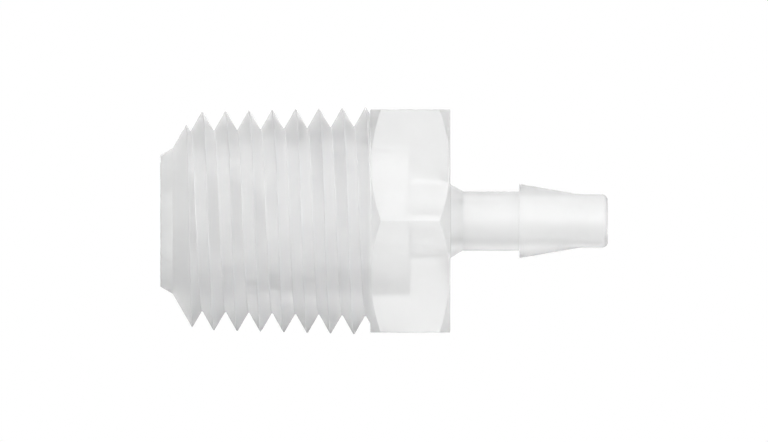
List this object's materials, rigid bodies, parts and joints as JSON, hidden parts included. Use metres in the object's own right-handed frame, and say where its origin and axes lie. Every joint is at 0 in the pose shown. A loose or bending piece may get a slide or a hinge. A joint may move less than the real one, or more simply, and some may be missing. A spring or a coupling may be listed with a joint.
{
  "type": "threaded hose nipple",
  "caption": "One-piece plastic nipple: a tapered male pipe thread, a spanner hexagon and a single-barb stem for small soft tube.",
  "frame": {"origin": "on the common axis of thread, hexagon and stem, in the plane of the thread's end face", "axes": "+X along the axis from the thread's end face to the tip of the stem; +Z square to one hexagon flat, so the opposite flat faces down; +Y through a hexagon corner, away from the picture's camera"},
  "size_m": [0.0271, 0.0156, 0.0138],
  "materials": {
    "natural_polypropylene": "satin, milky and translucent"
  },
  "bodies": {
    "root": {"hose_nipple": "natural_polypropylene"}
  },
  "joints": []
}
